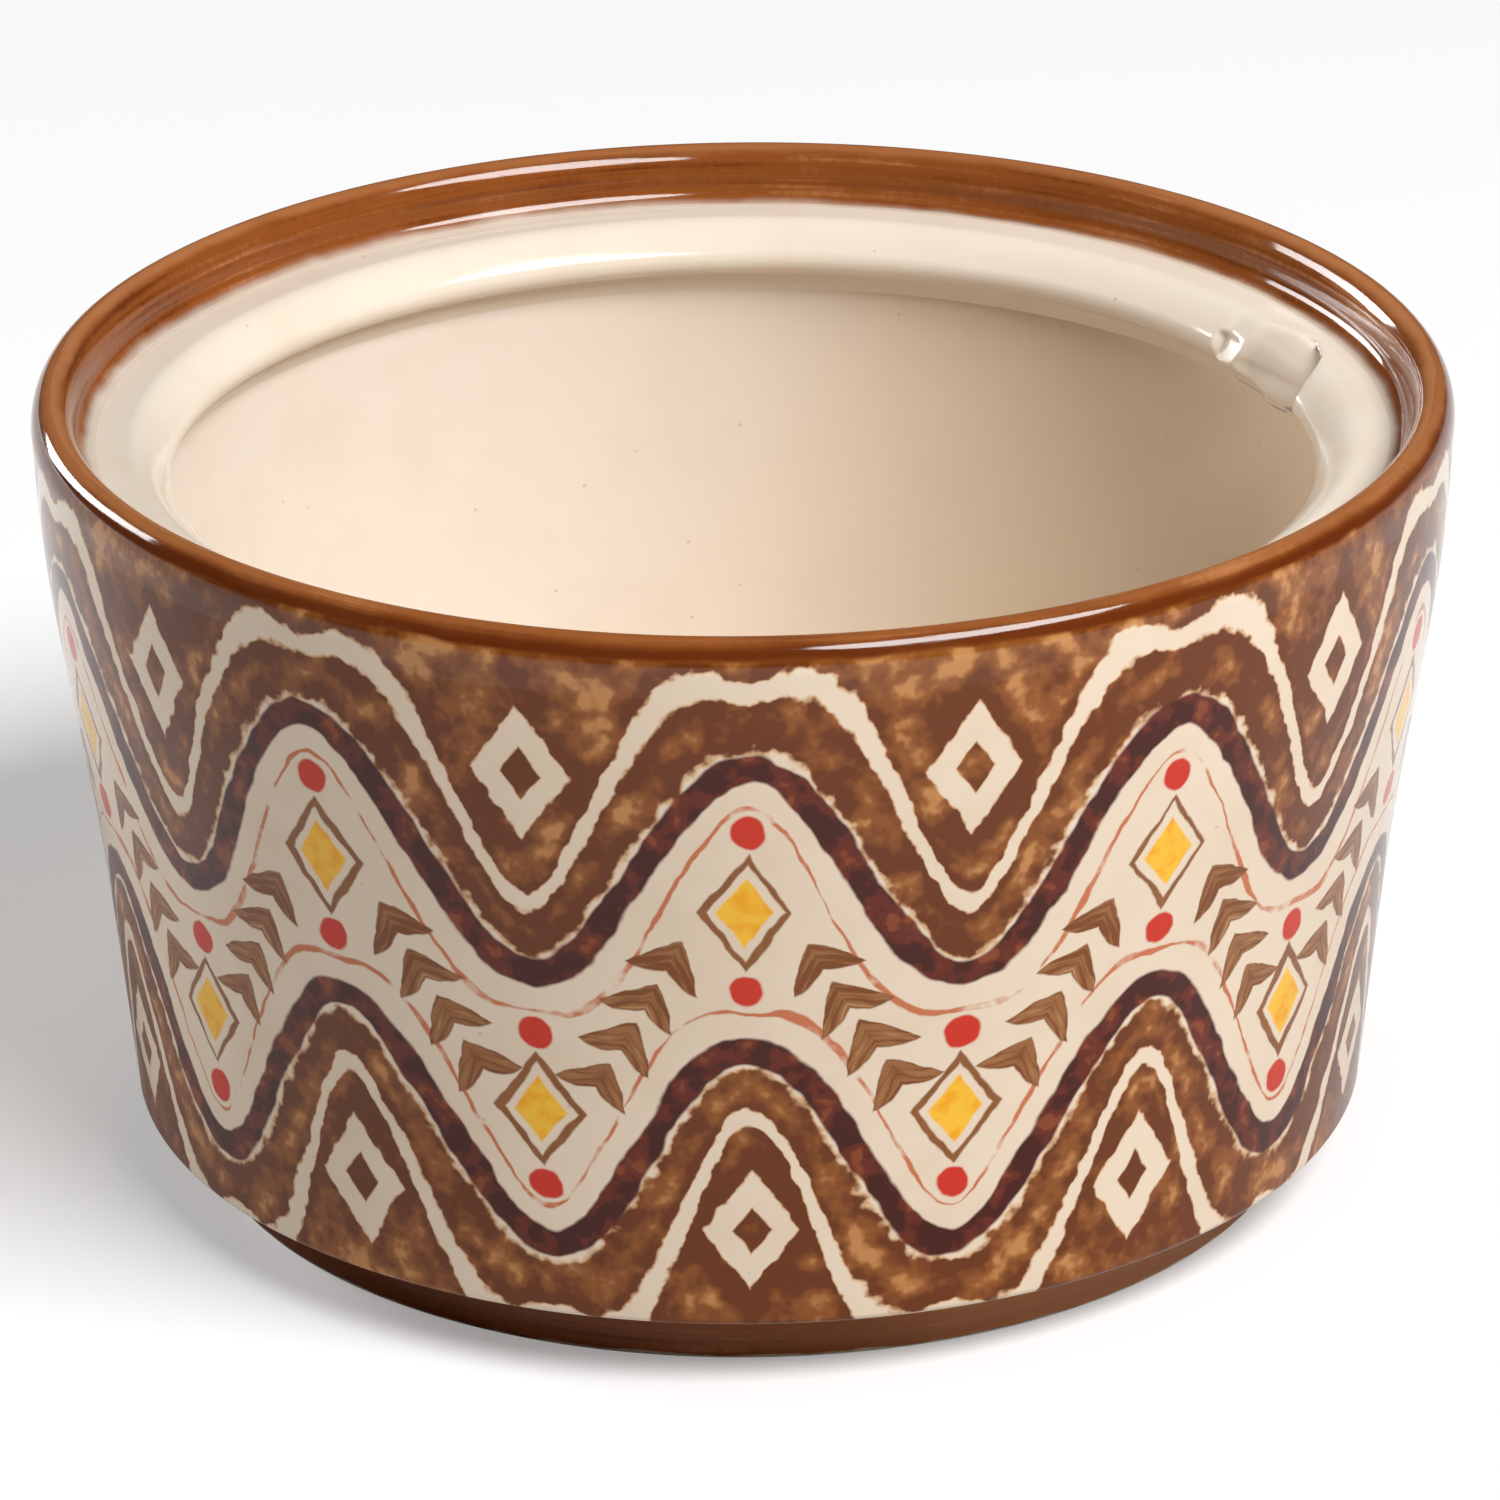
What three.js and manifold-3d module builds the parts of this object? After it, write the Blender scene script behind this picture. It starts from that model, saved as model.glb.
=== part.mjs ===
// Condiment jar: an open stoneware pot with a stepped foot, a bellied wall and an inner ledge for a lid.
// Millimetres, +Z up. The origin is the middle of the ring that the jar stands on.

import * as THREE from 'three';
import { mergeVertices } from 'three/addons/utils/BufferGeometryUtils.js';
import Module from 'manifold-3d';

const wasm = await Module();
wasm.setup();

// Outside of the jar: its height, and the diameters that its side passes through on the way up
const JAR_HEIGHT = 69.2;
const RIM_DIAMETER = 120;
const COLLAR_DIAMETER = 118;
const COLLAR_HEIGHT = 53.4;
const WAIST_DIAMETER = 110.9;
const WAIST_HEIGHT = 29.8;
const BASE_DIAMETER = 105.8;
const BASE_EDGE_ROUND = 0.8;

// Foot ring and the slab above it
const FOOT_STEP = 5.6;
const FOOT_HEIGHT = 5.9;
const FOOT_RING_WIDTH = 5.2;
const FOOT_EDGE_ROUND = 0.8;
const FOOT_RECESS = 4.2;
const BASE_THICKNESS = 3.4;

// Wall, thickest at the top, where the shoulder for the gallery ring is cut inside it
const WALL_FLOOR_THICKNESS = 4.6;
const WALL_TOP_THICKNESS = 8.7;
const SHOULDER_WIDTH = 4.6;
const FLOOR_FILLET = 8;
const FLOOR_FILLET_EDGE = 0.5;

// Gallery: the ring whose flat top is the lid seat and whose inner edge is the rolled lip of the mouth
const SEAT_DEPTH = 4.7;
const GALLERY_HEIGHT = 6.5;
const LEDGE_WIDTH = 6.65;
const LIP_WIDTH = 3.6;
const LIP_BEND = 2.15;
const LIP_DROP = 3.1;
const LIP_ROUND = 1.5;

// Rim: the collar above the lid seat, whose crest lies nearer to its outside
const RIM_OUTER_WIDTH = 1.7;
const RIM_OUTER_DROP = 2.7;
const RIM_INNER_WIDTH = 1.95;
const COVE_HEIGHT = 1.5;
const COVE_WIDTH = 0.9;
const COVE_EDGE = 0.35;

// Notch: a slanting scoop in the lip, cut by a round tool
const NOTCH_AZIMUTH = THREE.MathUtils.degToRad(21);
const NOTCH_REACH = 4.35;
const NOTCH_TOOL_DIAMETER = 13.2;
const NOTCH_SLOPE = THREE.MathUtils.degToRad(60);
const NOTCH_TOOL_LENGTH = 26;

// Radial room between a ring and the bore that it drops into
const FIT_CLEARANCE = 0.3;

// Facets round the jar, and steps along its curves
const TURN_STEPS = 72;
const SIDE_STEPS = 9;
const ROUND_STEPS = 3;
const ROLL_STEPS = 5;
const NOTCH_SIDES = 28;

const GLAZE_CREAM = 0xe6d6bf;
const GLAZE_BROWN = 0x8a4f26;

const rimRadius = RIM_DIAMETER / 2;
const footRadius = BASE_DIAMETER / 2 - FOOT_STEP;
const footBore = footRadius - FOOT_RING_WIDTH;
const floorTop = FOOT_HEIGHT + BASE_THICKNESS;
const seatTop = JAR_HEIGHT - SEAT_DEPTH;
const shoulderTop = seatTop - GALLERY_HEIGHT;
const rimShoulder = JAR_HEIGHT - RIM_OUTER_DROP;

const point = (radius, height) => new THREE.Vector2(radius, height);

const side = new THREE.SplineCurve([
  point(BASE_DIAMETER / 2, FOOT_HEIGHT),
  point(WAIST_DIAMETER / 2, WAIST_HEIGHT),
  point(COLLAR_DIAMETER / 2, COLLAR_HEIGHT),
  point(rimRadius, rimShoulder),
]);

// Outside radius of the jar at a height, found by halving along the side's curve
function sideRadius(height) {
  let below = 0;
  let above = 1;
  for (let halving = 0; halving < 40; halving += 1) {
    const middle = (below + above) / 2;
    if (side.getPoint(middle).y < height) below = middle;
    else above = middle;
  }
  return side.getPoint(above).x;
}

// Inside radius of the wall at a height between the floor and the shoulder
function boreRadius(height) {
  const { mapLinear } = THREE.MathUtils;
  return sideRadius(height) - mapLinear(height, floorTop, shoulderTop, WALL_FLOOR_THICKNESS, WALL_TOP_THICKNESS);
}

// Points at even heights along the wall, outside or inside
function along(radiusAt, from, to) {
  return Array.from({ length: SIDE_STEPS + 1 }, (_, step) => {
    const height = THREE.MathUtils.lerp(from, to, step / SIDE_STEPS);
    return point(radiusAt(height), height);
  });
}

// Points along an oval arc of a profile, with the angles in degrees from the radius outwards
function oval(radius, height, wide, tall, from, to, steps = ROLL_STEPS) {
  return Array.from({ length: steps + 1 }, (_, step) => {
    const angle = THREE.MathUtils.degToRad(THREE.MathUtils.lerp(from, to, step / steps));
    return point(radius + wide * Math.cos(angle), height + tall * Math.sin(angle));
  });
}

function arc(radius, height, round, from, to, steps = ROUND_STEPS) {
  return oval(radius, height, round, round, from, to, steps);
}

// A solid turned about Z from a profile that runs anticlockwise, seen with Z up and the axis to the left
function turned(profile) {
  const closed = profile[0].x > 0 ? [...profile, profile[0]] : profile;
  return new THREE.LatheGeometry(closed, TURN_STEPS).rotateX(Math.PI / 2);
}

function toSolid(geometry) {
  const bare = geometry.clone();
  bare.deleteAttribute('normal');
  bare.deleteAttribute('uv');
  const welded = mergeVertices(bare);
  const vertProperties = new Float32Array(welded.attributes.position.array);
  const triVerts = new Uint32Array(welded.index.array);
  return new wasm.Manifold(new wasm.Mesh({ numProp: 3, vertProperties, triVerts }));
}

function toGeometry(solid) {
  const mesh = solid.getMesh();
  const geometry = new THREE.BufferGeometry();
  geometry.setAttribute('position', new THREE.BufferAttribute(mesh.vertProperties, mesh.numProp));
  geometry.setIndex(new THREE.BufferAttribute(mesh.triVerts, 1));
  return geometry;
}

const jar = new THREE.Group();

function addPiece(name, geometry, color) {
  const glaze = new THREE.MeshStandardMaterial({ color, roughness: 0.25, metalness: 0 });
  const piece = new THREE.Mesh(geometry, glaze);
  piece.name = name;
  jar.add(piece);
}

// Foot ring, flat below and above, with both lower edges eased
function footRing() {
  return turned([
    ...arc(footBore + FOOT_EDGE_ROUND, FOOT_EDGE_ROUND, FOOT_EDGE_ROUND, 180, 270),
    ...arc(footRadius - FOOT_EDGE_ROUND, FOOT_EDGE_ROUND, FOOT_EDGE_ROUND, 270, 360),
    point(footRadius, FOOT_HEIGHT),
    point(footBore, FOOT_HEIGHT),
  ]);
}

// Base slab: it closes the bottom, fills the top of the foot ring's bore and makes the step above the foot
function base() {
  const plug = footBore - FIT_CLEARANCE;
  const edge = FOOT_HEIGHT + BASE_EDGE_ROUND;
  return turned([
    point(0, FOOT_RECESS),
    point(plug, FOOT_RECESS),
    point(plug, FOOT_HEIGHT),
    ...arc(sideRadius(edge) - BASE_EDGE_ROUND, edge, BASE_EDGE_ROUND, 270, 360),
    point(sideRadius(floorTop), floorTop),
    point(0, floorTop),
  ]);
}

const shoulderBore = boreRadius(shoulderTop);
const galleryBore = shoulderBore + SHOULDER_WIDTH;
const seatRadius = galleryBore - FIT_CLEARANCE;
const mouthRadius = seatRadius - LEDGE_WIDTH;

// Wall: the side of the jar, with a fillet into the floor and the shoulder near its top
function wall() {
  const filletTop = floorTop + FLOOR_FILLET;
  const floorEdge = boreRadius(floorTop);
  const fillet = new THREE.QuadraticBezierCurve(
    point(boreRadius(filletTop), filletTop),
    point(floorEdge, floorTop + FLOOR_FILLET_EDGE),
    point(floorEdge - FLOOR_FILLET, floorTop + FLOOR_FILLET_EDGE),
  );
  return turned([
    point(floorEdge - FLOOR_FILLET, floorTop),
    ...along(sideRadius, floorTop, seatTop),
    point(galleryBore, seatTop),
    point(galleryBore, shoulderTop),
    ...along(boreRadius, shoulderTop, filletTop).slice(0, -1),
    ...fillet.getPoints(ROLL_STEPS),
  ]);
}

// Notch tool: a round bar laid on the slanting floor of the scoop, which meets the seat NOTCH_REACH behind the lip
function notchTool() {
  const round = NOTCH_TOOL_DIAMETER / 2;
  const bar = new THREE.CylinderGeometry(round, round, NOTCH_TOOL_LENGTH, NOTCH_SIDES);
  bar.rotateX(Math.PI / 2);
  bar.rotateY(Math.PI / 2 - NOTCH_SLOPE);
  bar.translate(
    mouthRadius + NOTCH_REACH - round * Math.sin(NOTCH_SLOPE),
    0,
    seatTop + round * Math.cos(NOTCH_SLOPE),
  );
  return bar.rotateZ(NOTCH_AZIMUTH);
}

// Gallery ring: it stands on the wall's shoulder, and its inner edge rolls over into the mouth
function gallery() {
  const nose = arc(mouthRadius + LIP_ROUND, seatTop - LIP_DROP, LIP_ROUND, 140, 270, ROLL_STEPS);
  const roll = new THREE.QuadraticBezierCurve(
    point(mouthRadius + LIP_WIDTH, seatTop),
    point(mouthRadius + LIP_BEND, seatTop),
    nose[0],
  );
  const ring = turned([
    point(shoulderBore, shoulderTop),
    point(seatRadius, shoulderTop),
    point(seatRadius, seatTop),
    ...roll.getPoints(ROLL_STEPS),
    ...nose.slice(1),
  ]);
  return toGeometry(toSolid(ring).subtract(toSolid(notchTool())));
}

// Rim: it stands on the wall, closes the gallery's fit gap with a cove, and is round on both sides of its crest
function rim() {
  const crest = rimRadius - RIM_OUTER_WIDTH;
  const innerFace = crest - RIM_INNER_WIDTH;
  const coveTop = seatTop + COVE_HEIGHT;
  const cove = new THREE.QuadraticBezierCurve(
    point(innerFace, coveTop),
    point(innerFace, seatTop + COVE_HEIGHT / 2),
    point(innerFace - COVE_WIDTH, seatTop + COVE_EDGE),
  );
  return turned([
    point(seatRadius, seatTop),
    point(sideRadius(seatTop), seatTop),
    ...oval(crest, rimShoulder, RIM_OUTER_WIDTH, RIM_OUTER_DROP, 0, 90),
    ...oval(crest, coveTop, RIM_INNER_WIDTH, JAR_HEIGHT - coveTop, 90, 180).slice(1),
    ...cove.getPoints(ROLL_STEPS).slice(1),
    point(seatRadius, seatTop + COVE_EDGE),
  ]);
}

addPiece('foot_ring', footRing(), GLAZE_BROWN);
addPiece('base', base(), GLAZE_CREAM);
addPiece('wall', wall(), GLAZE_CREAM);
addPiece('gallery', gallery(), GLAZE_CREAM);
addPiece('rim', rim(), GLAZE_BROWN);

export default jar;
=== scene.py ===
"""Looks of a condiment jar: an open stoneware pot, hand painted under a clear glaze.

Shapes are given in millimetres and turned into metres where a mesh is made.
The jar stands on z = 0, round the Z axis.
"""

import math

import bpy
import numpy as np
from mathutils import Matrix, Quaternion, Vector


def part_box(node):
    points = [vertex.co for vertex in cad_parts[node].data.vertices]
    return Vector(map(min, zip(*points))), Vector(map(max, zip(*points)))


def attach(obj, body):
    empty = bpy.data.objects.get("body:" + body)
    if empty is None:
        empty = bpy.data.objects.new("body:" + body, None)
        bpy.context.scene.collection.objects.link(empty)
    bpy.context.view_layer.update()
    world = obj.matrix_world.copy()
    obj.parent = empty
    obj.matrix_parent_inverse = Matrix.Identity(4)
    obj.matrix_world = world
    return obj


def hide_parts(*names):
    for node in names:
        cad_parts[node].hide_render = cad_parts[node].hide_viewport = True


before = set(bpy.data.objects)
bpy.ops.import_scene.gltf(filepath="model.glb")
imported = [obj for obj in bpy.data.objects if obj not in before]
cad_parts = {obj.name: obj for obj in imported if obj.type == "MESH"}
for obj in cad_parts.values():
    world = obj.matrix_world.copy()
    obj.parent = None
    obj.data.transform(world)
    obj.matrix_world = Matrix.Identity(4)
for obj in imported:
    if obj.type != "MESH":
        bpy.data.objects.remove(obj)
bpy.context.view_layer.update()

MM = 0.001
TAU = 2 * math.pi


def round_size(node):
    """Outside radius, bottom and top of a round solid, in millimetres."""
    low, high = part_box(node)
    return high.x / MM, low.z / MM, high.z / MM


# Sizes read from the solids
FOOT_RADIUS, _, FOOT_TOP = round_size("foot_ring")
_, RECESS_TOP, FLOOR_TOP = round_size("base")
SEAT_RADIUS, SHOULDER, SEAT_TOP = round_size("gallery")
RIM_RADIUS, _, JAR_TOP = round_size("rim")

# Sizes that the solids are made with
WAIST_RADIUS, WAIST_HEIGHT = 55.45, 29.8
COLLAR_RADIUS, COLLAR_HEIGHT = 59.0, 53.4
BASE_RADIUS = 52.9
BASE_EDGE_ROUND = 0.8
FOOT_RING_WIDTH = 5.2
FOOT_EDGE_ROUND = 0.8
WALL_FLOOR_THICKNESS = 4.6
WALL_TOP_THICKNESS = 8.7
SHOULDER_WIDTH = 4.6
FLOOR_FILLET = 8.0
LEDGE_WIDTH = 6.65
LIP_WIDTH = 3.6
LIP_BEND = 2.15
LIP_DROP = 3.1
LIP_ROUND = 1.5
RIM_OUTER_WIDTH = 1.7
RIM_OUTER_DROP = 2.7
RIM_INNER_WIDTH = 1.95
COVE_HEIGHT = 1.5
COVE_WIDTH = 0.9
CREST_RADIUS = RIM_RADIUS - RIM_OUTER_WIDTH
COVE_RADIUS = CREST_RADIUS - RIM_INNER_WIDTH - COVE_WIDTH
MOUTH_RADIUS = SEAT_RADIUS - LEDGE_WIDTH

# Sizes of what the solids leave out: a fillet under the base, and the thin edges of the fillet and the cove
RECESS_FILLET_WIDTH, RECESS_FILLET_DROP = 2.4, 1.2
FILLET_FEATHER = 0.03
COVE_FEATHER = 0.02
COVE_LAP = 0.5

# Steps of the turned meshes, with a finer sector where the notch is
TURN_STEPS = 288
NOTCH_SECTOR = math.radians(36)
NOTCH_SECTOR_STEPS = 330
SIDE_STEP = 0.7
ARC_STEPS = 10
SWEEP_STEPS = 16
FOOT_FACE_STEPS = 6
SHOULDER_STEPS = 2
SEAT_STEPS = 20
LIP_STEPS = 26
NOSE_STEPS = 24
LIP_UNDERSIDE_STEPS = 8
CREST_STEPS = 20
BASE_EDGE_RUNOUT = 0.5
SMOOTH_ANGLE = math.radians(40)
SAME_POINT = MM / 1000
SAME_SEAM = MM / 500


# Profiles, as lists of (radius, height)


def smooth_curve(stations, samples=200):
    """A smooth curve through a few points, as many close ones."""
    stations = np.array(stations)
    padded = np.vstack([stations[:1], stations, stations[-1:]])
    t = np.linspace(0, 1, samples)[:, None]
    stretches = []
    for before, start, end, after in zip(padded, padded[1:], padded[2:], padded[3:]):
        leaving, arriving = (end - before) / 2, (after - start) / 2
        stretches.append(
            (2 * start - 2 * end + leaving + arriving) * t ** 3
            + (-3 * start + 3 * end - 2 * leaving - arriving) * t ** 2
            + leaving * t + start
        )
    return np.vstack(stretches)


SIDE = smooth_curve([
    (BASE_RADIUS, FOOT_TOP),
    (WAIST_RADIUS, WAIST_HEIGHT),
    (COLLAR_RADIUS, COLLAR_HEIGHT),
    (RIM_RADIUS, JAR_TOP - RIM_OUTER_DROP),
])


def side_radius(height):
    return float(np.interp(height, SIDE[:, 1], SIDE[:, 0]))


def bore_radius(height):
    inset = np.interp(height, (FLOOR_TOP, SHOULDER), (WALL_FLOOR_THICKNESS, WALL_TOP_THICKNESS))
    return side_radius(height) - float(inset)


def along(radius_at, start, end):
    steps = max(2, round(abs(end - start) / SIDE_STEP))
    return [(radius_at(z), z) for z in np.linspace(start, end, steps + 1)]


def oval(radius, height, wide, tall, start, end, steps):
    angles = np.radians(np.linspace(start, end, steps + 1))
    return [(radius + wide * math.cos(a), height + tall * math.sin(a)) for a in angles]


def arc(radius, height, size, start, end, steps=ARC_STEPS):
    return oval(radius, height, size, size, start, end, steps)


def line(start, end, steps):
    return [tuple(p) for p in np.linspace(start, end, steps + 1)]


def sweep(start, pull, end, steps=SWEEP_STEPS):
    """A curve from start to end, drawn towards pull."""
    t = np.linspace(0, 1, steps + 1)[:, None]
    start, pull, end = np.array([start, pull, end])
    return [tuple(p) for p in (1 - t) ** 2 * start + 2 * t * (1 - t) * pull + t ** 2 * end]


def foot_profile():
    bore = FOOT_RADIUS - FOOT_RING_WIDTH
    ease = FOOT_EDGE_ROUND
    return [
        *arc(bore + ease, ease, ease, 180, 270),
        *arc(FOOT_RADIUS - ease, ease, ease, 270, 360),
        *line((FOOT_RADIUS, ease), (FOOT_RADIUS, FOOT_TOP), FOOT_FACE_STEPS)[1:],
        (bore, FOOT_TOP),
    ]


def base_profile():
    edge = FOOT_TOP + BASE_EDGE_ROUND
    bore = FOOT_RADIUS - FOOT_RING_WIDTH
    return [
        (0, RECESS_TOP),
        *sweep(
            (bore - RECESS_FILLET_WIDTH, RECESS_TOP),
            (bore, RECESS_TOP),
            (bore, RECESS_TOP - RECESS_FILLET_DROP),
        ),
        (bore, FOOT_TOP),
        *arc(side_radius(edge) - BASE_EDGE_ROUND, edge, BASE_EDGE_ROUND, 270, 360),
        *along(side_radius, edge + BASE_EDGE_RUNOUT, FLOOR_TOP),
        (0, FLOOR_TOP),
    ]


def wall_profile():
    fillet_top = FLOOR_TOP + FLOOR_FILLET
    floor_edge = bore_radius(FLOOR_TOP)
    gallery_bore = bore_radius(SHOULDER) + SHOULDER_WIDTH
    fillet = sweep(
        (bore_radius(fillet_top), fillet_top),
        (floor_edge, FLOOR_TOP + FILLET_FEATHER),
        (floor_edge - FLOOR_FILLET, FLOOR_TOP + FILLET_FEATHER),
    )
    return [
        (floor_edge - FLOOR_FILLET, FLOOR_TOP),
        *along(side_radius, FLOOR_TOP, SEAT_TOP),
        (gallery_bore, SEAT_TOP),
        (gallery_bore, SHOULDER),
        *along(bore_radius, SHOULDER, fillet_top)[:-1],
        *fillet,
    ]


def gallery_profile():
    seat_edge = (MOUTH_RADIUS + LIP_WIDTH, SEAT_TOP)
    nose = arc(MOUTH_RADIUS + LIP_ROUND, SEAT_TOP - LIP_DROP, LIP_ROUND, 140, 270, NOSE_STEPS)
    shoulder_edge = (bore_radius(SHOULDER), SHOULDER)
    return [
        *line(shoulder_edge, (SEAT_RADIUS, SHOULDER), SHOULDER_STEPS),
        *line((SEAT_RADIUS, SEAT_TOP), seat_edge, SEAT_STEPS)[:-1],
        *sweep(seat_edge, (MOUTH_RADIUS + LIP_BEND, SEAT_TOP), nose[0], LIP_STEPS),
        *nose[1:],
        *line(nose[-1], shoulder_edge, LIP_UNDERSIDE_STEPS)[1:-1],
    ]


def rim_profile():
    inner_face = CREST_RADIUS - RIM_INNER_WIDTH
    outer_low = JAR_TOP - RIM_OUTER_DROP
    cove_top = SEAT_TOP + COVE_HEIGHT
    cove = sweep(
        (inner_face, cove_top),
        (inner_face, SEAT_TOP + COVE_HEIGHT / 2),
        (COVE_RADIUS, SEAT_TOP + COVE_FEATHER),
    )
    return [
        (SEAT_RADIUS - COVE_LAP, SEAT_TOP),
        *along(side_radius, SEAT_TOP, outer_low),
        *oval(CREST_RADIUS, outer_low, RIM_OUTER_WIDTH, RIM_OUTER_DROP, 0, 90, CREST_STEPS)[1:],
        *oval(CREST_RADIUS, cove_top, RIM_INNER_WIDTH, JAR_TOP - cove_top, 90, 180, CREST_STEPS)[1:],
        *cove[1:],
        (SEAT_RADIUS - COVE_LAP, SEAT_TOP + COVE_FEATHER),
    ]


# Turned pieces


def draw_profile(profile):
    """Extrudes a profile point by point, from a plane that is merged to its first point."""
    points = [Vector((r * MM, 0, z * MM)) for r, z in profile]
    bpy.ops.object.select_all(action="DESELECT")
    bpy.ops.mesh.primitive_plane_add(size=MM, location=points[0])
    bpy.ops.object.mode_set(mode="EDIT")
    bpy.ops.mesh.merge(type="CENTER")
    ends = points[1:] if points[0].x == 0 else [*points[1:], points[0]]
    for here, there in zip(points, ends):
        bpy.ops.mesh.extrude_vertices_move(TRANSFORM_OT_translate={"value": there - here})
    bpy.ops.mesh.select_all(action="SELECT")
    bpy.ops.mesh.remove_doubles(threshold=SAME_POINT)
    bpy.ops.object.mode_set(mode="OBJECT")
    bpy.ops.object.transform_apply(location=True, rotation=True, scale=True)
    return bpy.context.object


def turn(name, profile, sectors=((0, TAU, TURN_STEPS),)):
    """Turns a profile round the jar's axis, sector by sector, into one closed mesh."""
    turned = []
    for start, angle, steps in sectors:
        piece = draw_profile(profile)
        bpy.ops.object.modifier_add(type="SCREW")
        screw = piece.modifiers[-1]
        screw.angle = angle
        screw.steps = screw.render_steps = steps
        bpy.ops.object.modifier_apply(modifier=screw.name)
        piece.rotation_euler.z = start
        bpy.ops.object.transform_apply(location=True, rotation=True, scale=True)
        turned.append(piece)
    for piece in turned:
        piece.select_set(True)
    if len(turned) > 1:
        bpy.ops.object.join()
    bpy.ops.object.mode_set(mode="EDIT")
    bpy.ops.mesh.select_all(action="SELECT")
    bpy.ops.mesh.remove_doubles(threshold=SAME_SEAM)
    bpy.ops.mesh.normals_make_consistent(inside=False)
    bpy.ops.object.mode_set(mode="OBJECT")
    bpy.ops.object.shade_smooth_by_angle(angle=SMOOTH_ANGLE)
    whole = bpy.context.object
    whole.name = name
    return whole


# The notch that a tool pressed into the lip

# Its place round the jar, the round bed that its floor lies on, and the margins of what is pressed
NOTCH_AZIMUTH = math.radians(21)
NOTCH_HALF_WIDTH = 14
NOTCH_BED_RADIUS = 5.5
NOTCH_BED_OUT, NOTCH_BED_UP = 56.5, 60.1
NOTCH_START = math.radians(40)
NOTCH_LAYER = 1.0
SEAT_MARGIN, SHOULDER_MARGIN = 0.6, 0.5

# How far the lip sags, and where along the lip and down the bed the sag sets in
SAG = 1.0
SAG_LEFT, SAG_RIGHT, SAG_DOWN = (9.6, 8.2), (-6.5, -4.0), (1.0, 3.0)
SAG_LOSS, SAG_LOSS_LEFT = 0.55, (3.0, 5.0)

# The foot of the scoop's steep right side, as (distance down the bed, place along the lip)
SCOOP_RIGHT = smooth_curve([
    (0, -0.3), (0.6, -2.2), (1.9, -4.5), (3.6, -5.2), (4.5, -4.7), (6.0, -4.2), (9.0, -4.0),
])

# The scoop's slopes, depth and soft edge, and where each of them changes
RIGHT_SLOPE, RIGHT_SLOPE_GAIN, RIGHT_SLOPE_DOWN = 0.9, 2.0, (0.4, 2.4)
LEFT_SLOPE = 0.28
VALLEY_ROUND = 0.04
LEFT_END, LEFT_END_CURVE = 4.5, 0.25
EDGE_DEPTH, DEPTH_DOWN = 0.3, (-0.5, 2.2)
DEPTH_LOSS, DEPTH_LOSS_DOWN = 0.6, (4.0, 6.0)
EDGE_SOFT, EDGE_SOFT_GAIN, EDGE_SOFT_LEFT = 0.2, 0.25, (3.0, 6.0)

# The flat facet at the lip's left end: its slope, a point on it, and where it sets in
FACET_SLOPE = math.radians(61)
FACET_OUT, FACET_UP = 48.42, 61.5
FACET_RIGHT, FACET_LEFT, FACET_TOP = (4.4, 5.0), (9.8, 9.0), (63.0, 62.5)


def ramp(value, low, high):
    """0 at low and 1 at high, with a soft step between. It falls where low is over high."""
    t = np.clip((value - low) / (high - low), 0, 1)
    return t * t * (3 - 2 * t)


def on_notch_bed(out, up):
    """Height over the notch's bed, the angle from upright there, and the distance down the bed."""
    inward, over = NOTCH_BED_OUT - out, up - NOTCH_BED_UP
    angle = np.arctan2(inward, over)
    return np.hypot(inward, over) - NOTCH_BED_RADIUS, angle, NOTCH_BED_RADIUS * (angle - NOTCH_START)


def lip_sag(across, down):
    """How far the lip sags at a place along it and down the bed. It sags less to the left."""
    sag = SAG * ramp(across, *SAG_LEFT) * ramp(across, *SAG_RIGHT) * ramp(down, *SAG_DOWN)
    return sag * (1 - SAG_LOSS * ramp(across, *SAG_LOSS_LEFT))


def pressed_height(height, across, down):
    """Height over the bed once the scoop is pressed in, with a soft edge round it."""
    aside = across - np.interp(down, SCOOP_RIGHT[:, 0], SCOOP_RIGHT[:, 1])
    deep = EDGE_DEPTH + ramp(down, *DEPTH_DOWN) * (1 - DEPTH_LOSS * ramp(down, *DEPTH_LOSS_DOWN))
    steep = RIGHT_SLOPE + RIGHT_SLOPE_GAIN * ramp(down, *RIGHT_SLOPE_DOWN)
    valley = (steep + LEFT_SLOPE) / 2 * np.sqrt(aside ** 2 + VALLEY_ROUND) - (steep - LEFT_SLOPE) / 2 * aside
    scoop = valley + LEFT_END_CURVE * np.maximum(across - LEFT_END, 0) ** 2 - deep
    soft = EDGE_SOFT + EDGE_SOFT_GAIN * ramp(aside, *EDGE_SOFT_LEFT)
    blend = np.maximum(soft - np.abs(height - scoop), 0) / soft
    return np.minimum(height, scoop) - blend ** 2 * soft / 4


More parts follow.
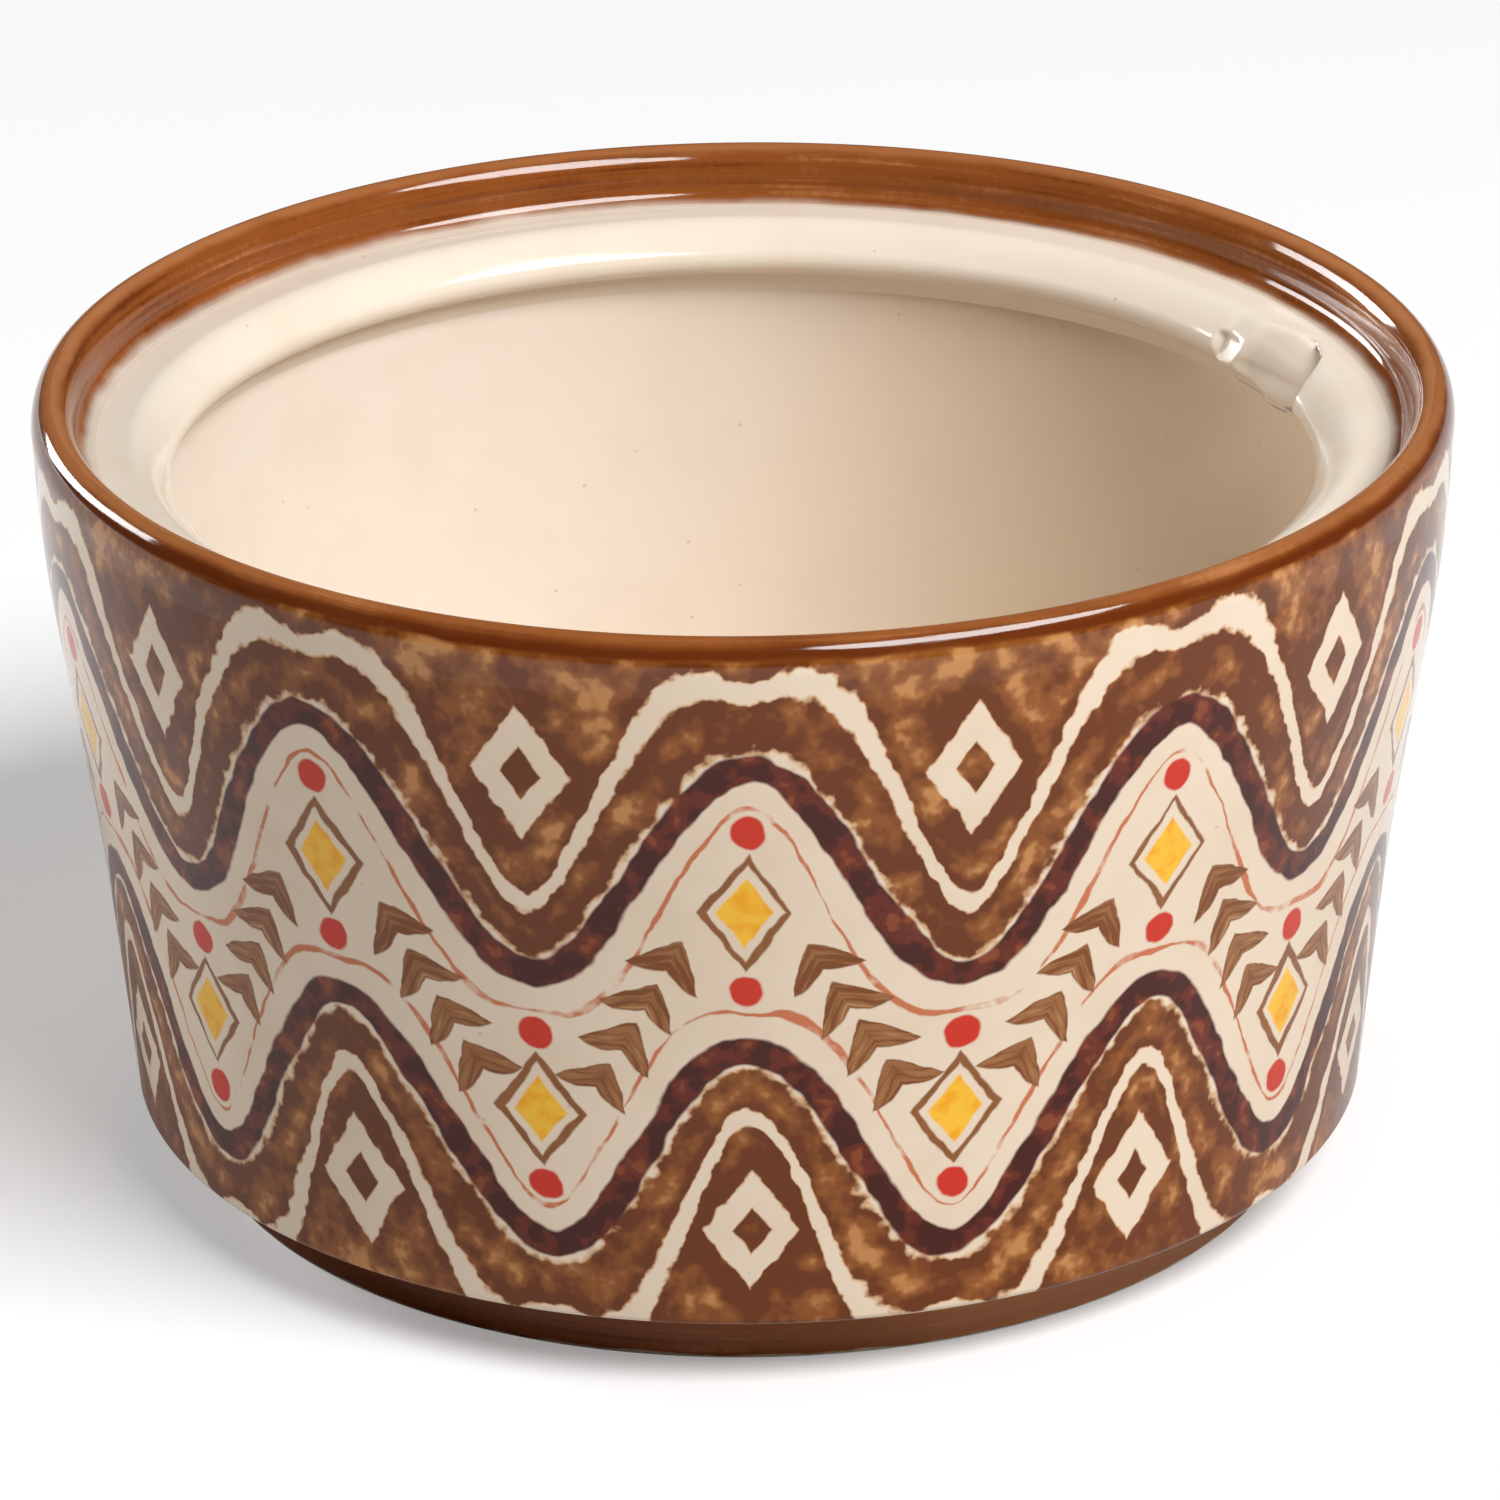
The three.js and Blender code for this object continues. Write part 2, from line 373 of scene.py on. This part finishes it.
def press_notch(gallery):
    """Presses the notch into the lip: the lip sags, and what stands over the scoop is pushed down to it."""
    flat = np.empty(3 * len(gallery.data.vertices))
    gallery.data.vertices.foreach_get("co", flat)
    place = flat.reshape(-1, 3) / MM
    cos, sin = math.cos(NOTCH_AZIMUTH), math.sin(NOTCH_AZIMUTH)
    out = place[:, 0] * cos + place[:, 1] * sin
    across = place[:, 1] * cos - place[:, 0] * sin
    up = place[:, 2].copy()
    lip = (out < SEAT_RADIUS - SEAT_MARGIN) & (up > SHOULDER + SHOULDER_MARGIN)
    near = (out > 0) & (np.abs(across) < NOTCH_HALF_WIDTH) & lip

    _, _, down = on_notch_bed(out, up)
    up -= np.where(near, lip_sag(across, down), 0)
    height, angle, down = on_notch_bed(out, up)
    push = np.where(near & (height > -NOTCH_LAYER), height - pressed_height(height, across, down), 0)
    out += push * np.sin(angle)
    up -= push * np.cos(angle)

    # The lip's left end is pressed to a flat facet
    sloped, level = math.sin(FACET_SLOPE), math.cos(FACET_SLOPE)
    over = (FACET_OUT - out) * sloped + (up - FACET_UP) * level
    over = np.where(near, np.maximum(over, 0), 0) * ramp(across, *FACET_RIGHT) * ramp(across, *FACET_LEFT)
    over *= ramp(up, *FACET_TOP)
    out += over * sloped
    up -= over * level
    place[:, 0] = out * cos - across * sin
    place[:, 1] = out * sin + across * cos
    place[:, 2] = up
    gallery.data.vertices.foreach_set("co", (place * MM).ravel())
    gallery.data.update()


foot_ring = turn("foot_ring_turned", foot_profile())
base = turn("base_turned", base_profile())
wall = turn("wall_turned", wall_profile())
gallery = turn("gallery_turned", gallery_profile(), sectors=(
    (NOTCH_AZIMUTH - NOTCH_SECTOR / 2, NOTCH_SECTOR, NOTCH_SECTOR_STEPS),
    (NOTCH_AZIMUTH + NOTCH_SECTOR / 2, TAU - NOTCH_SECTOR, TURN_STEPS),
))
press_notch(gallery)
rim = turn("rim_turned", rim_profile())


# Glazes


def shade(red, green, blue):
    """A colour from its 0 to 255 values, in linear light."""
    def linear(value):
        value /= 255
        return value / 12.92 if value <= 0.04045 else ((value + 0.055) / 1.055) ** 2.4
    return (linear(red), linear(green), linear(blue), 1)


class Term:
    """A socket of a glaze's nodes. Arithmetic on it adds Math nodes."""

    def __init__(self, glaze, socket):
        self.glaze = glaze
        self.socket = socket

    def __add__(self, other):
        return self.glaze.math("ADD", self, other)

    def __sub__(self, other):
        return self.glaze.math("SUBTRACT", self, other)

    def __rsub__(self, other):
        return self.glaze.math("SUBTRACT", other, self)

    def __mul__(self, other):
        return self.glaze.math("MULTIPLY", self, other)

    def __truediv__(self, other):
        return self.glaze.math("DIVIDE", self, other)

    def __rtruediv__(self, other):
        return self.glaze.math("DIVIDE", other, self)

    def __abs__(self):
        return self.glaze.math("ABSOLUTE", self)

    __radd__ = __add__


class Glaze:
    """One fired finish: a material, and the ways of adding nodes to it."""

    def __init__(self, name):
        self.material = bpy.data.materials.new(name)
        self.material.use_nodes = True
        self.tree = self.material.node_tree
        self.tree.nodes.clear()

    def node(self, kind, settings=None, inputs=None):
        made = self.tree.nodes.new(kind)
        for key, value in (settings or {}).items():
            setattr(made, key, value)
        for key, value in (inputs or {}).items():
            if isinstance(value, Term):
                self.tree.links.new(value.socket, made.inputs[key])
            else:
                made.inputs[key].default_value = value
        return made

    def term(self, kind, output, settings=None, inputs=None):
        return Term(self, self.node(kind, settings, inputs).outputs[output])

    def math(self, operation, *operands):
        return self.term("ShaderNodeMath", 0, {"operation": operation}, dict(enumerate(operands)))

    def least(self, *terms):
        smallest = terms[0]
        for other in terms[1:]:
            smallest = self.math("MINIMUM", smallest, other)
        return smallest

    def most(self, *terms):
        largest = terms[0]
        for other in terms[1:]:
            largest = self.math("MAXIMUM", largest, other)
        return largest

    def length(self, across, up):
        return self.math("SQRT", across * across + up * up)

    def rise(self, value, low, high):
        """0 at low and 1 at high, with a soft step between. It falls where low is over high."""
        return self.term(
            "ShaderNodeMapRange", "Result", {"interpolation_type": "SMOOTHSTEP"},
            {"Value": value, "From Min": low, "From Max": high, "To Min": 0.0, "To Max": 1.0},
        )

    def mix(self, amount, below, above):
        return self.term("ShaderNodeMix", 2, {"data_type": "RGBA"}, {0: amount, 6: below, 7: above})

    def vector(self, operation, *operands):
        return self.term("ShaderNodeVectorMath", 0, {"operation": operation}, dict(enumerate(operands)))

    def scaled(self, vector, factor):
        return self.term("ShaderNodeVectorMath", 0, {"operation": "SCALE"}, {0: vector, "Scale": factor})

    def joined(self, x, y, z):
        return self.term("ShaderNodeCombineXYZ", 0, None, {0: x, 1: y, 2: z})

    def noise(self, place, size, output="Fac", detail=2.0, roughness=0.5, settings=None, **inputs):
        """Noise whose blotches are about size millimetres wide."""
        return self.term(
            "ShaderNodeTexNoise", output, settings,
            {"Vector": place, "Scale": 1 / size, "Detail": detail, "Roughness": roughness, **inputs},
        )

    def place(self):
        """The point on the jar, in millimetres."""
        return self.scaled(self.term("ShaderNodeTexCoord", "Object"), 1 / MM)

    def wobble(self, place, size, reach):
        """The point as a hand would miss it: moved by about reach, in waves of that size."""
        off = self.vector("SUBTRACT", self.noise(place, size, "Color"), (0.5, 0.5, 0.5))
        return self.vector("ADD", place, self.scaled(off, 4 * reach))

    def parts(self, place):
        split = self.node("ShaderNodeSeparateXYZ", None, {0: place})
        return [Term(self, socket) for socket in split.outputs]

    def finish(self, colour, roughness, relief, ior):
        """Ends the nodes in a glossy glaze; relief is the height of its unevenness in millimetres."""
        bump = self.term("ShaderNodeBump", 0, None, {"Height": relief, "Distance": MM, "Strength": 1.0})
        body = self.term(
            "ShaderNodeBsdfPrincipled", 0, None,
            {"Base Color": colour, "Roughness": roughness, "Normal": bump, "IOR": ior},
        )
        self.node("ShaderNodeOutputMaterial", None, {"Surface": body})
        return self.material


CREAM = shade(228, 208, 185)
CREAM_THIN = shade(214, 190, 161)
CREAM_INSIDE = shade(233, 220, 203)
CREAM_INSIDE_THIN = shade(223, 206, 183)
CREAM_DEEP = shade(229, 217, 203)
CREAM_DEEP_THIN = shade(220, 205, 186)
# Painted shade: a warmer cream for the right, +x, side of the inside, which lies in shade
CREAM_PAINTED_SHADE = shade(228, 207, 181)
SPECK = shade(150, 110, 72)
BROWN = shade(136, 74, 31)
BROWN_LIGHT = shade(176, 114, 70)
BROWN_DARK = shade(92, 38, 8)
SPONGE = shade(138, 79, 32)
SPONGE_DARK = shade(104, 50, 15)
SPONGE_PALE = shade(192, 133, 78)
FRINGE = shade(210, 168, 126)
LINE_RED = shade(68, 22, 12)
LINE_RED_MID = shade(98, 36, 20)
LINE_RED_LIGHT = shade(130, 62, 30)
STROKE = shade(152, 100, 58)
STROKE_DARK = shade(122, 68, 26)
STROKE_PALE = shade(178, 132, 88)
PINSTRIPE = shade(196, 112, 74)
YELLOW = shade(243, 186, 52)
YELLOW_DEEP = shade(238, 164, 22)
RED = shade(200, 48, 28)
BARE_CLAY = shade(208, 190, 162)

# The painted side: a cream ribbon that waves round the jar between sponged brown lobes
WAVES = 10
WAVE_PHASE = 0.5
RIBBON_MIDDLE = 35.5
RIBBON_SWING = 10.0
RIBBON_HALF = 13.0
LINE_HALF = 1.15
ECHO_OFFSET = 6.4
LOZENGE_WIDTH, LOZENGE_HEIGHT = 4.3, 6.2
LOZENGE_UPPER, LOZENGE_LOWER = 57.0, 15.0
PINSTRIPE_INSET = 3.6
CHEVRON_STEP = 4.4
CHEVRON_REACH = 3.5
CHEVRON_LEAN = 0.75
DIAMOND_WIDTH, DIAMOND_HEIGHT = 3.0, 4.1
DIAMOND_OUTLINE = 1.2
BEAD_RADIUS = 1.6
BEAD_OFFSET = 7.2

# Where glazes meet: the lower edge of the rim's brown, and a cone within the wall that parts its two faces
RIM_BAND_LOW = 67.7
PARTING_RADIUS, PARTING_SLOPE = 49.5, 0.115

# Sizes of what lies in the glazes, in millimetres or per millimetre
CLOUD_SIZE = 9.0
SPECKS_PER_MM = 0.42
STREAKS_ACROSS, STREAKS_ALONG = 1.9, 0.03
RIPPLE_SIZE, RIPPLE_HEIGHT = 3.2, 0.014
RIM_STREAK_HEIGHT = 0.012
FOOT_STREAK_HEIGHT = 0.016

# How strongly each glaze mirrors
GLAZE_IOR = 1.43
SIDE_IOR = 1.34
FOOT_IOR = 1.3


def cream_glaze(glaze, place, thick=CREAM, thin=CREAM_THIN):
    """Cream glaze over pale clay: faint clouds, and a few specks of iron."""
    clouds = glaze.rise(glaze.noise(place, CLOUD_SIZE, detail=3.0), 0.42, 0.75)
    colour = glaze.mix(clouds * 0.35, thick, thin)
    cells = glaze.node(
        "ShaderNodeTexVoronoi", {"feature": "F1"},
        {"Vector": place, "Scale": SPECKS_PER_MM, "Randomness": 1.0},
    )
    near = glaze.rise(Term(glaze, cells.outputs["Distance"]), 0.09, 0.04)
    pick = glaze.rise(glaze.parts(Term(glaze, cells.outputs["Color"]))[0], 0.74, 0.80)
    return glaze.mix(near * pick * 0.35, colour, SPECK)


def brushed_brown(glaze, place):
    """Brown laid on with a wide brush while the jar turned, so its streaks run round.

    Gives its colour and its streaks.
    """
    x, y, z = glaze.parts(place)
    radius = glaze.length(x, y)
    across = glaze.joined(radius * STREAKS_ACROSS, z * STREAKS_ACROSS, x * STREAKS_ALONG)
    streaks = glaze.noise(
        across, 1.0, detail=4.0, roughness=0.62, settings={"noise_dimensions": "4D"}, W=y * STREAKS_ALONG,
    )
    broad = glaze.noise(place, 16.0, detail=2.0)
    grain = glaze.noise(place, 0.7, detail=1.0)
    tone = streaks * 0.6 + broad * 0.45 + grain * 0.12
    colour = glaze.mix(glaze.rise(tone, 0.60, 0.78), BROWN, BROWN_LIGHT)
    return glaze.mix(glaze.rise(tone, 0.58, 0.40) * 0.8, colour, BROWN_DARK), streaks


def painted_side(glaze, place, cream):
    """The jar's painted outside, over the cream glaze."""
    drawn = glaze.wobble(glaze.wobble(place, 26.0, 0.55), 2.6, 0.2)
    x, y, z = glaze.parts(drawn)
    radius = glaze.length(x, y)
    cell = glaze.math("FRACT", glaze.math("ARCTAN2", y, x) * (WAVES / TAU) + WAVE_PHASE)
    pitch = radius * (TAU / WAVES)
    along = abs((cell - 0.5) * pitch)
    wave = glaze.math("COSINE", cell * TAU)
    lean = glaze.math("SINE", cell * TAU) * (RIBBON_SWING * WAVES) / radius
    upright = 1 / glaze.math("SQRT", lean * lean + 1)
    beyond = (abs(z - (wave * RIBBON_SWING + RIBBON_MIDDLE)) - RIBBON_HALF) * upright
    blot = glaze.noise(place, 4.6, detail=3.0, roughness=0.6)
    fine = glaze.noise(place, 1.5, detail=2.0)
    press = glaze.noise(place, 6.0, detail=2.0)

    # Sponged brown, with an echo of the ribbon's edge and a lozenge in each lobe left bare
    upper = glaze.math("GREATER_THAN", z, RIBBON_MIDDLE)
    lobe_x = along + (1 - upper) * (pitch * 0.5 - along * 2)
    lobe_z = glaze.least(abs(z - LOZENGE_UPPER), abs(z - LOZENGE_LOWER))
    lozenge = lobe_x / LOZENGE_WIDTH + lobe_z / LOZENGE_HEIGHT
    echo = abs(beyond - ECHO_OFFSET)
    hug = glaze.most(
        glaze.rise(beyond, 4.0, 1.8), glaze.rise(echo, 2.6, 1.2), glaze.rise(lozenge, 1.7, 1.15),
    )
    tone = blot * 0.8 + fine * 0.2 + hug * 0.09
    sponge = glaze.mix(glaze.rise(tone, 0.47, 0.60), SPONGE, SPONGE_DARK)
    sponge = glaze.mix(glaze.rise(tone, 0.48, 0.38) * 0.9, sponge, SPONGE_PALE)
    bare = glaze.most(
        glaze.rise(echo + (fine - 0.5) * 1.3, 1.15, 0.6),
        glaze.rise(lozenge + (fine - 0.5) * 0.25, 1.0, 0.88) * glaze.rise(lozenge, 0.32, 0.42),
    )
    laid = glaze.rise(beyond + (fine - 0.5) * 2.2, 0.9, 2.0) * (1 - bare)
    colour = glaze.mix(glaze.rise(laid, 0.02, 0.5), cream, FRINGE)
    colour = glaze.mix(glaze.rise(laid, 0.35, 0.9), colour, sponge)

    # Dark red brush line on both edges of the ribbon, and a fine one inside it
    line_edge = abs(beyond + 0.1) - (press - 0.5) * 1.5
    dabs = glaze.noise(place, 2.4, detail=2.0)
    red_line = glaze.mix(glaze.rise(dabs, 0.46, 0.56), LINE_RED, LINE_RED_MID)
    red_line = glaze.mix(glaze.rise(dabs, 0.60, 0.68), red_line, LINE_RED_LIGHT)
    colour = glaze.mix(glaze.rise(line_edge, LINE_HALF + 0.2, LINE_HALF - 0.15), colour, red_line)
    hair = abs(beyond + PINSTRIPE_INSET) - (press - 0.5) * 0.7
    colour = glaze.mix(glaze.rise(hair, 0.30, 0.12) * glaze.rise(blot, 0.36, 0.52), colour, PINSTRIPE)

    # Brushed chevrons that climb the slopes of the ribbon
    slope = math.atan2(RIBBON_SWING * WAVES, WAIST_RADIUS)
    run_x = along - pitch * 0.25
    run_z = z - RIBBON_MIDDLE
    off = abs(run_z * math.cos(slope) - run_x * math.sin(slope))
    run = run_x * math.cos(slope) + run_z * math.sin(slope) + off * CHEVRON_LEAN
    beat = abs(glaze.math("FRACT", run / CHEVRON_STEP) - 0.5) * CHEVRON_STEP
    reach = off / CHEVRON_REACH
    room = (1 - reach * reach) * 1.25 + (press - 0.5) * 0.5 - beat * 0.8
    room = glaze.least(room, CHEVRON_STEP * 2 - abs(run))
    bristles = glaze.noise(glaze.joined(beat * 1.6, off * 0.22, run * 0.3), 1.0, detail=2.0)
    stroke = glaze.mix(glaze.rise(bristles, 0.42, 0.58), STROKE_DARK, STROKE)
    stroke = glaze.mix(glaze.rise(bristles, 0.60, 0.72), stroke, STROKE_PALE)
    stroke = glaze.mix(glaze.rise(room, 0.36, 0.10) * 0.7, stroke, STROKE_DARK)
    colour = glaze.mix(glaze.rise(room, 0.0, 0.2), colour, stroke)

    # A yellow lozenge with a brushed outline in each bend, between two red beads
    at_peak = glaze.math("GREATER_THAN", along, pitch * 0.25)
    bend_x = along + at_peak * (pitch * 0.5 - along * 2)
    from_valley = z - (RIBBON_MIDDLE - RIBBON_SWING)
    bend_z = abs(from_valley + at_peak * (2 * RIBBON_MIDDLE - z * 2))
    diamond = bend_x / DIAMOND_WIDTH + bend_z / DIAMOND_HEIGHT
    yellow = glaze.mix(glaze.rise(fine, 0.42, 0.66), YELLOW, YELLOW_DEEP)
    colour = glaze.mix(glaze.rise(diamond, 0.84, 0.74), colour, yellow)
    outline = abs(diamond - DIAMOND_OUTLINE) - (press - 0.5) * 0.3
    colour = glaze.mix(glaze.rise(outline, 0.17, 0.08), colour, glaze.mix(fine, STROKE_DARK, STROKE))
    bead_room = BEAD_RADIUS - glaze.length(bend_x, bend_z - BEAD_OFFSET)
    return glaze.mix(glaze.rise(bead_room, 0.0, 0.3), colour, RED)


def unevenness(glaze, place):
    """The slight ripple of a fired glaze, in millimetres."""
    return glaze.noise(place, RIPPLE_SIZE, detail=2.0) * RIPPLE_HEIGHT


def gloss(glaze, place, least=0.10):
    """The roughness of a glossy glaze, which varies a little from place to place."""
    return least + glaze.noise(place, 7.0) * 0.06


def painted_glaze():
    """The side: painted outside, cream inside, and brown under the step above the foot."""
    glaze = Glaze("painted_glaze")
    place = glaze.place()
    x, y, z = glaze.parts(place)
    radius = glaze.length(x, y)
    cream = cream_glaze(glaze, place)
    brown, _ = brushed_brown(glaze, place)
    outside = glaze.math("GREATER_THAN", radius, z * PARTING_SLOPE + PARTING_RADIUS)
    under = glaze.math("LESS_THAN", z, FOOT_TOP + 0.25) * glaze.math("GREATER_THAN", radius, FOOT_RADIUS - 1)
    # Inside, the cream is a little darker than the seat's and turns warmer towards the right, +x, side:
    # painted shade where the inside lies in shade
    deep = glaze.mix(glaze.rise(x, -30.0, 45.0), CREAM_DEEP, CREAM_PAINTED_SHADE)
    inside = cream_glaze(glaze, place, deep, CREAM_DEEP_THIN)
    colour = glaze.mix(outside, inside, painted_side(glaze, place, cream))
    colour = glaze.mix(under, colour, brown)
    return glaze.finish(colour, gloss(glaze, place), unevenness(glaze, place), SIDE_IOR)


def cream_inside():
    """The lid seat and the lip: plain cream."""
    glaze = Glaze("cream_glaze")
    place = glaze.place()
    cream = cream_glaze(glaze, place, CREAM_INSIDE, CREAM_INSIDE_THIN)
    return glaze.finish(cream, gloss(glaze, place), unevenness(glaze, place), GLAZE_IOR)


def brown_rim():
    """The rim: brown over its round top and down its inner face, where it thins out to the cream seat."""
    glaze = Glaze("brown_rim")
    place = glaze.place()
    cream = cream_glaze(glaze, place)
    seat_cream = cream_glaze(glaze, place, CREAM_INSIDE, CREAM_INSIDE_THIN)
    brown, streaks = brushed_brown(glaze, place)
    x, y, z = glaze.parts(glaze.wobble(place, 6.0, 0.2))
    radius = glaze.length(x, y)
    outside = glaze.math("GREATER_THAN", radius, CREST_RADIUS)
    # Lighter brown over the crest, where the glaze thins, which is real; how much varies with the side, less
    # on the outer face and at the front and back, more at the left and right: painted shade and painted
    # light
    thin = 0.55 - outside * 0.35 + glaze.rise(abs(x), 25.0, 55.0) * 0.35
    crest_wear_and_painted_light = glaze.rise(z, JAR_TOP - 0.7, JAR_TOP - 0.05) * thin
    brown = glaze.mix(crest_wear_and_painted_light, brown, BROWN_LIGHT)
    pool = glaze.rise(abs(z - (RIM_BAND_LOW + 0.45)), 0.95, 0.1) * outside
    brown = glaze.mix(pool * 0.9, brown, BROWN_DARK)
    band = glaze.rise(z + (streaks - 0.5) * 0.8, RIM_BAND_LOW - 0.25, RIM_BAND_LOW + 0.2)
    # The brown's edge, and the tint below, reach further in on the right, +x, side
    spread = glaze.rise(x, -12.0, 22.0) * 0.4 + (streaks - 0.5) * 0.5
    inner = glaze.rise(radius + spread, COVE_RADIUS - 0.4, COVE_RADIUS + 0.7)
    # A faint brown tint on the seat just past the brown's edge: painted shade of the rim and painted
    # reflection of its brown
    painted_rim_shade = glaze.rise(radius + spread, COVE_RADIUS - 1.4, COVE_RADIUS + 0.3) * 0.3
    inner = inner + (1 - inner) * painted_rim_shade
    laid = inner + outside * (band - inner)
    under = glaze.mix(outside, seat_cream, painted_side(glaze, place, cream))
    colour = glaze.mix(laid, under, brown)
    relief = unevenness(glaze, place) + streaks * RIM_STREAK_HEIGHT
    return glaze.finish(colour, gloss(glaze, place, 0.05), relief, GLAZE_IOR)


def brown_foot():
    """The foot: brown outside, cream inside, and bare clay where it stands."""
    glaze = Glaze("brown_foot")
    place = glaze.place()
    x, y, z = glaze.parts(glaze.wobble(place, 4.0, 0.2))
    brown, streaks = brushed_brown(glaze, place)
    inside = glaze.rise(glaze.length(x, y), FOOT_RADIUS - 2.4, FOOT_RADIUS - 3.0)
    bare = glaze.rise(z, 0.55, 0.25)
    # The foot's brown is lighter on the right, +x, side and darker on the left: painted light and painted
    # shade
    brown = glaze.mix(glaze.rise(x, 2.0, 24.0) * 0.95, brown, BROWN_LIGHT)
    brown = glaze.mix(glaze.rise(x, 4.0, -34.0) * 0.8, brown, BROWN_DARK)
    colour = glaze.mix(inside, brown, cream_glaze(glaze, place))
    colour = glaze.mix(bare, colour, BARE_CLAY)
    relief = unevenness(glaze, place) + streaks * FOOT_STREAK_HEIGHT
    return glaze.finish(colour, bare * 0.7 + 0.12, relief, FOOT_IOR)


side_material = painted_glaze()
inside_material = cream_inside()
rim_material = brown_rim()
foot_material = brown_foot()

for piece, node, slot, material in (
    (foot_ring, "foot_ring", "brown_glaze", foot_material),
    (base, "base", "cream_glaze", side_material),
    (wall, "wall", "painted_glaze", side_material),
    (gallery, "gallery", "cream_glaze", inside_material),
    (rim, "rim", "brown_glaze", rim_material),
):
    piece.data.materials.clear()
    piece.data.materials.append(material)
    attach(piece, "root")
    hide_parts(node)


# Floor and light

FLOOR_SIZE = 8.0
FLOOR_GREY = (0.64, 0.64, 0.64, 1)
FLOOR_LIFT = 0.3
ROOM_LEVEL = 0.04
bpy.ops.object.select_all(action="DESELECT")
bpy.ops.mesh.primitive_plane_add(size=FLOOR_SIZE)
floor = bpy.context.object
floor.name = "floor"


def floor_finish():
    """Pale floor that keeps the jar's shadow, lifted to white where the camera or a reflection sees it."""
    paint = Glaze("floor_white")
    path = paint.node("ShaderNodeLightPath")
    x, y, _ = paint.parts(paint.place())
    camera_ray, glossy_ray = (Term(paint, path.outputs[name]) for name in ("Is Camera Ray", "Is Glossy Ray"))
    seen = paint.most(camera_ray, glossy_ray * paint.rise(paint.length(x, y), RIM_RADIUS, 2 * RIM_RADIUS))
    matt = paint.term("ShaderNodeBsdfDiffuse", 0, None, {"Color": FLOOR_GREY})
    lift = paint.term("ShaderNodeEmission", 0, None, {"Strength": seen * FLOOR_LIFT})
    both = paint.term("ShaderNodeAddShader", 0, None, {0: matt, 1: lift})
    paint.node("ShaderNodeOutputMaterial", None, {"Surface": both})
    return paint.material


floor.data.materials.append(floor_finish())

world = bpy.data.worlds.new("studio")
world.use_nodes = True
world.node_tree.nodes["Background"].inputs["Color"].default_value = (1, 1, 1, 1)
world.node_tree.nodes["Background"].inputs["Strength"].default_value = ROOM_LEVEL
bpy.context.scene.world = world

JAR_MIDDLE = Vector((0, 0, 0.035))


def softbox(name, shape, right_of_camera, elevation, distance, wide, high, level, roll=0):
    """An area light that faces the jar, placed, sized and rolled by angles, in degrees, as the jar sees it.

    A white face square to it is lit to level, where 1 is white.
    """
    lamp = bpy.data.lights.new(name, "AREA")
    lamp.shape = shape
    lamp.size = 2 * distance * math.tan(math.radians(wide / 2))
    lamp.size_y = 2 * distance * math.tan(math.radians(high / 2))
    lamp.energy = level * (math.pi * distance) ** 2
    box = bpy.data.objects.new(name, lamp)
    bpy.context.collection.objects.link(box)
    a, e = math.radians(right_of_camera), math.radians(elevation)
    out = Vector((math.sin(a) * math.cos(e), -math.cos(a) * math.cos(e), math.sin(e)))
    box.location = JAR_MIDDLE + out * distance
    box.rotation_mode = "QUATERNION"
    box.rotation_quaternion = out.to_track_quat("Z", "Y") @ Quaternion((0, 0, 1), math.radians(roll))


softbox(
    "key", "ELLIPSE", right_of_camera=43.5, elevation=50, distance=1.6, wide=43, high=21, level=1.4,
)
softbox(
    "back_left", "RECTANGLE", right_of_camera=-127, elevation=15, distance=1.5, wide=36, high=13, level=0.7,
    roll=30,
)

# Camera, fitted to the photograph's view of the rim, mouth and foot

CAMERA_DISTANCE = 0.7953
CAMERA_ELEVATION = math.radians(25.489)
CAMERA_TILT = math.radians(2.290)
CAMERA_PAN = math.radians(-0.025)
CAMERA_ROLL = math.radians(0.540)
SENSOR_WIDTH = 36.0
FOCAL_LENGTH = 218.34

lens = bpy.data.cameras.new("camera")
lens.sensor_width = SENSOR_WIDTH
lens.lens = FOCAL_LENGTH
camera = bpy.data.objects.new("camera", lens)
bpy.context.collection.objects.link(camera)
stand = Vector((0, -math.cos(CAMERA_ELEVATION), math.sin(CAMERA_ELEVATION))) * CAMERA_DISTANCE
camera.matrix_world = (
    Matrix.Translation(stand)
    @ Matrix.Rotation(math.pi / 2 - CAMERA_ELEVATION, 4, "X")
    @ Matrix.Rotation(CAMERA_PAN, 4, "Y")
    @ Matrix.Rotation(CAMERA_TILT, 4, "X")
    @ Matrix.Rotation(-CAMERA_ROLL, 4, "Z")
)
bpy.context.scene.camera = camera
bpy.context.scene.view_settings.view_transform = "Standard"
